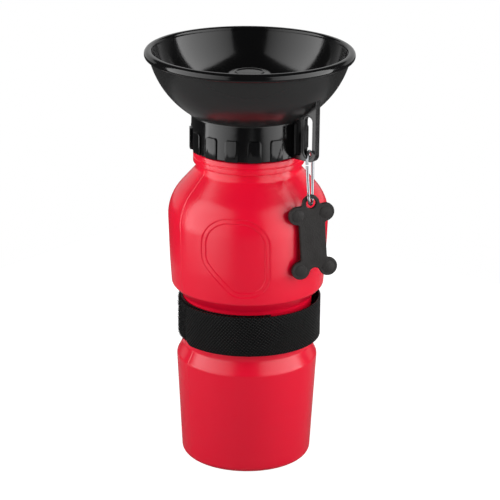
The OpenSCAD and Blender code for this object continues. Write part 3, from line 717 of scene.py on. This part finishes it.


# Each tape's two colours are a painted highlight for the thread crowns and painted shade for the
# valleys.
webbing = tape_material("polyamide_tape_twill", "#0B0B0B", "#010101", 0.4, 1.35, 0.4)
hook_tape = tape_material("polyamide_hook_tape", "#141415", "#040404", 0.6, 0.9, 0.6)
fuzz, tree, shader = finish_named("polyamide_loop_pile", "#080809", 0.85, Sheen_Weight=0.03,
                                  Sheen_Roughness=0.4, Specular_IOR_Level=0.2)
place = add_node(tree, "ShaderNodeTexCoord").outputs["Object"]
tree.links.new(mottle(tree, 1.5, linear("#030303"), linear("#0D0D0E"), place, 4),
               shader.inputs["Base Color"])
loops = mottle(tree, 0.8, 0.0, 1.0, place, 4)
bump = add_node(tree, "ShaderNodeBump", {"Distance": 0.4 * MM}, {"Height": loops})
tree.links.new(bump.outputs["Normal"], shader.inputs["Normal"])

# %% [markdown]
# Each length of tape is an arc of points round the waist, pushed up to the tape's width, turned
# to face out, and given its thickness by Solidify. Seen from above, the tab starts close to the
# pile at its free end and stands off a little on the loose side, and the strip comes in from the
# seam to lie on the waist. Moving the points near the tab's free end rounds its corners.

# %% Tape lengths
STRAP_Z, STRAP_W = 70.0, 22.2
STRIP_R, STRIP_T, PILE_T, HOOKS_T, TAB_T, SEAT, SLACK = 35.55, 1.0, 0.9, 0.65, 1.0, 0.05, 0.9
TAB_END, SEAM, STRIP_END = -108.5, 60.0, 330.0
SLACK_AHEAD, SLACK_RATE, EASE_OVER, TAPE_STEP = 18, 0.9, 90, 1.5
TAB_R = STRIP_R + STRIP_T + PILE_T + HOOKS_T + 3 * SEAT


def tab_inside(a):
    """Inside radius of the tab in millimetres, at an azimuth."""
    loose = math.cos(math.radians(SLACK_RATE * (a - SEAM + SLACK_AHEAD)))
    return TAB_R + SLACK * max(0, loose) ** 2


def strip_inside(a):
    """Inside radius of the strip, which eases in from the seam to the waist."""
    t = min(1, max(0, (a - SEAM) / EASE_OVER))
    ease = (1 + math.cos(math.pi * t)) / 2
    return STRIP_R + (tab_inside(SEAM) - STRIP_T - SEAT - STRIP_R) * ease


def tape(name, start, end, inside_r, thick, margin=0.0, rows=12, corner=0.0):
    """A length of tape between two azimuths, with its UV map in millimetres."""
    n = math.ceil((end - start) / TAPE_STEP)
    turns = [start + (end - start) * i / n for i in range(n + 1)]
    path = [around(a, inside_r(a) * MM, (STRAP_Z + margin) * MM) for a in turns]
    along = [0.0]
    for a, b in zip(path, path[1:]):
        along.append(along[-1] + (b - a).length)
    height = (STRAP_W - 2 * margin) * MM
    piece = trace(name, path)
    for _ in range(rows):
        bpy.ops.mesh.extrude_region_move(TRANSFORM_OT_translate={"value": (0, 0, height / rows)})
    bpy.ops.mesh.select_all(action="SELECT")
    bpy.ops.mesh.normals_make_consistent(inside=False)
    bpy.ops.object.mode_set(mode="OBJECT")
    faces = piece.data.polygons
    if sum(f.normal.xy.dot(f.center.xy) for f in faces) < 0:
        bpy.ops.object.mode_set(mode="EDIT")
        bpy.ops.mesh.flip_normals()
        bpy.ops.object.mode_set(mode="OBJECT")
    column = {v.index: v.index % (n + 1) for v in piece.data.vertices}
    sheet_uv = piece.data.uv_layers.new(name="tape")
    middle = (STRAP_Z + STRAP_W / 2) * MM
    for loop in piece.data.loops:
        s = along[column[loop.vertex_index]]
        z = piece.data.vertices[loop.vertex_index].co.z
        sheet_uv.data[loop.index].uv = (s / MM, (z - middle) / MM)
    if corner:
        for v in piece.data.vertices:
            left = max(0, corner * MM - along[column[v.index]])
            lost = corner * MM - math.sqrt((corner * MM) ** 2 - left ** 2)
            v.co.z = middle + (v.co.z - middle) * (1 - 2 * lost / height)
    wall = piece.modifiers.new("thickness", "SOLIDIFY")
    wall.thickness, wall.offset = thick * MM, 1
    bpy.ops.object.modifier_apply(modifier="thickness")
    soften(piece, 0.22, 2, 50)
    return close_up(piece, 50)


strip = tape("strap_backing", SEAM - 12, STRIP_END, strip_inside, STRIP_T)
pile = tape("pile_base", SEAM + 14, STRIP_END, lambda a: strip_inside(a) + STRIP_T + SEAT,
            PILE_T, margin=0.6)
tab = tape("strap_tab_tape", TAB_END, SEAM + 10, tab_inside, TAB_T, corner=5.0)
hooks = tape("hook_patch", TAB_END + 9, STRIP_END - 364, lambda a: tab_inside(a) - HOOKS_T - SEAT,
             HOOKS_T, margin=2.0)
for piece, material, node, slot in (
        (strip, webbing, "strap_strip", "webbing"), (pile, fuzz, "strap_pile", "loop_pile"),
        (tab, webbing, "strap_tab", "webbing"), (hooks, hook_tape, "strap_hooks", "hook_plastic")):
    piece.data.materials.append(material)
    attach(piece, "strap")
    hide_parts(node)

# %% [markdown]
# Worn loop pile stands up in a ragged fringe. Each tuft of fibre is a thin three-sided spike with
# a bend in it, and thousands of them make the fuzz, so each has only a few faces. One in five
# grows from the pile's upper or lower edge, and only those go on under the tab.

# %% Pile fibres
random.seed(7)
FIBRES, FIBRE_R, FRINGE_EVERY = 7000, 0.075, 5
SHORTEST, LONGEST, LONG_SHARE, LONGER_BY = 0.5, 1.1, 0.1, 1.35


def fibre(corners, faces, root, out, length, sway):
    """Adds one bent spike to the lists."""
    side = out.cross(Vector((0, 0, 1)) + sway).normalized()
    other = out.cross(side).normalized()
    first = len(corners)
    for level, (reach, girth) in enumerate(((0.0, 1.0), (0.55, 0.8))):
        centre = root + out * length * reach + sway * length * 0.3 * level
        for k in range(3):
            t = math.tau * k / 3
            corners.append(centre + (side * math.cos(t) + other * math.sin(t)) * girth
                           * FIBRE_R * MM)
    corners.append(root + out * length + sway * length)
    for k in range(3):
        n = (k + 1) % 3
        faces.append((first + k, first + n, first + 3 + n, first + 3 + k))
        faces.append((first + 3 + k, first + 3 + n, first + 6))
    faces.append((first + 2, first + 1, first))


corners, faces = [], []
bare_to = TAB_END + 360
for i in range(FIBRES):
    fringe = i % FRINGE_EVERY == 0
    a = random.uniform(SEAM + 16, STRIP_END if fringe else bare_to + 4)
    r = strip_inside(a) + STRIP_T + SEAT + PILE_T - 0.15
    z = STRAP_Z + random.uniform(0.5, STRAP_W - 0.5)
    sway = Vector([random.uniform(-0.55, 0.55) for _ in range(3)])
    out = around(a)
    if fringe:
        up = random.choice((-1, 1))
        z = STRAP_Z + STRAP_W / 2 + up * (STRAP_W / 2 - 0.9)
        r -= random.uniform(0, PILE_T - 0.2)
        out = (out * (0.1 if a > bare_to else 0.6) + Vector((0, 0, up))).normalized()
        if a > bare_to:
            sway -= around(a) * sway.dot(around(a))
    length = random.uniform(SHORTEST, LONGEST) * (LONGER_BY if random.random() < LONG_SHARE else 1)
    fibre(corners, faces, around(a, r * MM, z * MM), out, length * MM, sway)
mesh = bpy.data.meshes.new("pile_fibres")
mesh.from_pydata(corners, [], faces)
fibres = bpy.data.objects.new("pile_fibres", mesh)
bpy.context.scene.collection.objects.link(fibres)
fibres.data.materials.append(fuzz)
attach(fibres, "strap")
print("pile fibres:", FIBRES, "with", len(faces), "faces")

# %% [markdown]
# ## Clip
# The clip is one bent wire: a wide arc in the slot, a narrow one through the tag, and a straight
# back between them. Its path is traced in the clip's own plane, turned into place, and swept by
# making the line a curve with a round bevel.

# %% Clip wire
WIRE_D, CLIP_LEN, CLIP_TOP_R, CLIP_BOTTOM_R = 1.6, 28.0, 6.5, 4.2
CLIP_AZIMUTH, CLIP_LEAN, CLIP_TILT, CLIP_RISE, STUB = -66.0, 17.0, 6.4, 2.9, 0.6
clip_apex = Vector((SLOT_X, 0, SLOT_LOW + CLIP_RISE)) * MM
clip_turn = (Matrix.Rotation(math.radians(CLIP_AZIMUTH), 3, "Z")
             @ Matrix.Rotation(math.radians(-CLIP_LEAN), 3, "Y")
             @ Matrix.Rotation(math.radians(CLIP_TILT), 3, "X"))
span = CLIP_LEN - CLIP_TOP_R - CLIP_BOTTOM_R
arm_angle = math.asin((CLIP_TOP_R - CLIP_BOTTOM_R) / span)
top_hub, bottom_hub = Vector((0, -CLIP_TOP_R)), Vector((0, CLIP_BOTTOM_R - CLIP_LEN))


def in_clip(p):
    """A point of the clip's plane, in the bottle's frame."""
    return clip_apex + clip_turn @ Vector((p.x, 0, p.y))


def wire(name, path, diameter):
    """A round wire along a path, as a mesh with closed ends."""
    piece = trace(name, path)
    bpy.ops.object.mode_set(mode="OBJECT")
    bpy.ops.object.convert(target="CURVE")
    piece = bpy.context.object
    piece.data.bevel_depth, piece.data.bevel_resolution = diameter / 2 * MM, 6
    piece.data.use_fill_caps = True
    bpy.ops.object.convert(target="MESH")
    piece = bpy.context.object
    bpy.ops.object.mode_set(mode="EDIT")
    return close_up(piece, 60)


wire_path = (arc(bottom_hub, CLIP_BOTTOM_R, -arm_angle, -math.pi + arm_angle, 28)
             + arc(top_hub, CLIP_TOP_R, math.pi + arm_angle, -arm_angle, 40))
arm_low, arm_high = wire_path[0], wire_path[-1]
arm_dir = (arm_high - arm_low).normalized()
wire_path = [arm_low + arm_dir * STUB * MM] + wire_path
clip_wire = wire("clip_wire", [in_clip(p) for p in wire_path], WIRE_D)
clip_wire.data.materials.append(nickel)
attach(clip_wire, "clip")
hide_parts("clip_frame")

# %% [markdown]
# ## Bone tag
# The tag's outline runs round a small ring, four lobes and a shaft, with a little fillet in each
# inner corner as a mould gives. Half of it is worked out as arcs and the other half mirrors it.

# %% Tag outline
TAG_T, HOLE, RING_OUT, LOBE_R = 2.2, 2.75, 4.7, 5.0
LOBE_X, LOBE_DOWN, SHAFT_X, HOLE_RISE, INNER_FILLET = 7.65, 30.6, 7.2, 5.8, 1.4
TAG_AZIMUTH, TAG_TILT, HOLE_LIFT = -33.0, 4.3, 0.7
PAD_R, PAD_H, NOTCH_R = 0.66 * LOBE_R, 0.2, 3


def between(a, ra, b, rb, fillet):
    """Centre of the fillet that touches two circles from outside, on the +X side."""
    d, base = (b - a).length, (b - a).normalized()
    da, db = ra + fillet, rb + fillet
    t = (da * da - db * db + d * d) / (2 * d)
    off = math.sqrt(da * da - t * t)
    side = Vector((-base.y, base.x))
    return max((a + base * t + side * off, a + base * t - side * off), key=lambda p: p.x)


ring, upper = Vector((0, 0)), Vector((LOBE_X, -HOLE_RISE))
lower = upper - Vector((0, LOBE_DOWN))
neck_hub = between(ring, RING_OUT, upper, LOBE_R, INNER_FILLET)
drop = math.sqrt((LOBE_R + INNER_FILLET) ** 2 - (SHAFT_X + INNER_FILLET - LOBE_X) ** 2)
waist_hubs = [Vector((SHAFT_X + INNER_FILLET, upper.y - drop)),
              Vector((SHAFT_X + INNER_FILLET, lower.y + drop))]
notch = Vector((0, lower.y - math.sqrt((LOBE_R + NOTCH_R) ** 2 - LOBE_X ** 2)))
half = (arc(ring, RING_OUT, math.pi / 2, heading(neck_hub - ring), 12)
        + arc(neck_hub, INNER_FILLET, heading(ring - neck_hub) % math.tau,
              heading(upper - neck_hub) % math.tau, 5)[1:]
        + arc(upper, LOBE_R, heading(neck_hub - upper), heading(waist_hubs[0] - upper), 20)[1:]
        + arc(waist_hubs[0], INNER_FILLET, heading(upper - waist_hubs[0]) % math.tau,
              math.pi, 5)[1:]
        + arc(waist_hubs[1], INNER_FILLET, math.pi, heading(lower - waist_hubs[1]) % math.tau, 5)
        + arc(lower, LOBE_R, heading(waist_hubs[1] - lower), heading(notch - lower), 20)[1:]
        + arc(notch, NOTCH_R, heading(lower - notch), math.pi / 2, 6)[1:])
bone = half + [Vector((-p.x, p.y)) for p in reversed(half[1:-1])]
print("tag outline:", len(bone), "points")

# %% [markdown]
# The rubber tag is a plate with soft edges, a hole and a low round pad on each of its four lobes.
# The pads are plates of their own, softened in the same way, and are joined to the tag before it
# is turned and hung from the clip's lower arc.

# %% Tag
tag = plate("bone_tag_rubber", bone, -TAG_T / 2, TAG_T / 2)
cut(tag, plate("hole_cutter", full_circle(ring, HOLE), -TAG_T, TAG_T))
soften(tag, 0.45, 3, 40)
tag = close_up(tag, 40)
pads = []
for hub in (upper, lower, Vector((-upper.x, upper.y)), Vector((-lower.x, lower.y))):
    pad = plate("tag_pad", full_circle(hub, PAD_R), -TAG_T / 2 - PAD_H, TAG_T / 2 + PAD_H)
    soften(pad, 0.18, 2, 40)
    pads.append(close_up(pad, 40))
bpy.ops.object.select_all(action="DESELECT")
for piece in pads + [tag]:
    piece.select_set(True)
bpy.context.view_layer.objects.active = tag
bpy.ops.object.join()
lean = (Matrix.Rotation(math.radians(TAG_AZIMUTH + 90), 4, "Z")
        @ Matrix.Rotation(math.radians(-TAG_TILT), 4, "Y"))
hang = Matrix.Translation(in_clip(Vector((0, -CLIP_LEN * MM))) + Vector((0, 0, HOLE_LIFT * MM)))
tag.matrix_world = hang @ lean
bpy.ops.object.transform_apply()
tag.data.materials.clear()
tag.data.materials.append(rubber)
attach(tag, "tag")
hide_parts("bone_tag")
for piece in (tag, clip_wire):
    spots = [v.co for v in piece.data.vertices]
    print(piece.name, [[round(f(p[k] for p in spots) / MM, 1) for k in range(3)]
                       for f in (min, max)])

# %% [markdown]
# ## Studio
# The reflections in the bowl tell how the picture was lit: two very large soft boxes stand to the
# camera's left and right, from well below the table's top to nearly 50 degrees up, brighter towards
# their far edges, with a dark gap between them. A dim backdrop behind the bottle gives the rim its
# thin bright line. The table is small. It is light grey in reflections, and a glow that only the
# camera sees lifts it to white.

# %% Table
bpy.ops.object.select_all(action="DESELECT")
bpy.ops.mesh.primitive_plane_add(size=0.64)
floor = bpy.context.object
floor.name = "table_top"
pale, tree, shader = finish_named("table_pale", "#AEAEAE", 0.9, Specular_IOR_Level=0.0)
shader.inputs["Emission Color"].default_value = (1, 1, 1, 1)
seen = add_node(tree, "ShaderNodeLightPath").outputs["Is Camera Ray"]
level = add_node(tree, "ShaderNodeMapRange", {"To Min": 0.0, "To Max": 0.9}, {"Value": seen})
tree.links.new(level.outputs["Result"], shader.inputs["Emission Strength"])
floor.data.materials.append(pale)

# %% [markdown]
# A soft box is an upright rectangle. Its light grows from the edge near the camera to the far one,
# which a ramp across the lamp gives. Strengths are radiances, so the power follows from the area.

# %% Soft boxes and world


def soft_box(name, turn, width, low, high, near, far, distance=1.4):
    """A soft box at an angle right of the camera, between two heights, facing the axis."""
    bpy.ops.object.light_add(type="AREA")
    box = bpy.context.object
    box.name = name
    box.data.shape, box.data.size, box.data.size_y = "RECTANGLE", width, high - low
    box.data.energy = math.pi * width * (high - low)
    box.location = around(VIEW_AZIMUTH + turn, distance, (low + high) / 2)
    box.rotation_euler = around(VIEW_AZIMUTH + turn + 180).to_track_quat("-Z", "Y").to_euler()
    box.data.use_nodes = True
    tree = box.data.node_tree
    across = add_node(tree, "ShaderNodeNewGeometry").outputs["Parametric"]
    split = add_node(tree, "ShaderNodeSeparateXYZ", links={"Vector": across})
    first, last = (far, near) if turn < 0 else (near, far)
    ramp = add_node(tree, "ShaderNodeMapRange", {"To Min": first, "To Max": last},
                    {"Value": split.outputs["X"]})
    tree.links.new(ramp.outputs["Result"], tree.nodes["Emission"].inputs["Strength"])
    return box


soft_box("soft_box_left", -60, width=2.2, low=-0.6, high=1.75, near=0.6, far=3.9)
soft_box("soft_box_right", 61, width=2.2, low=-0.6, high=1.75, near=0.9, far=4.2)
backdrop = soft_box("backdrop", 180, width=4.6, low=0.0, high=1.0, near=0.55, far=0.55)
backdrop.visible_camera = False
world = bpy.data.worlds.new("studio")
bpy.context.scene.world = world
world.use_nodes = True
tree = world.node_tree
air = tree.nodes["Background"]
air.inputs["Color"].default_value = (1, 1, 1, 1)
seen = add_node(tree, "ShaderNodeLightPath").outputs["Is Camera Ray"]
level = add_node(tree, "ShaderNodeMapRange", {"To Min": 0.05, "To Max": 1.0}, {"Value": seen})
tree.links.new(level.outputs["Result"], air.inputs["Strength"])
bpy.context.scene.view_settings.view_transform = "Standard"
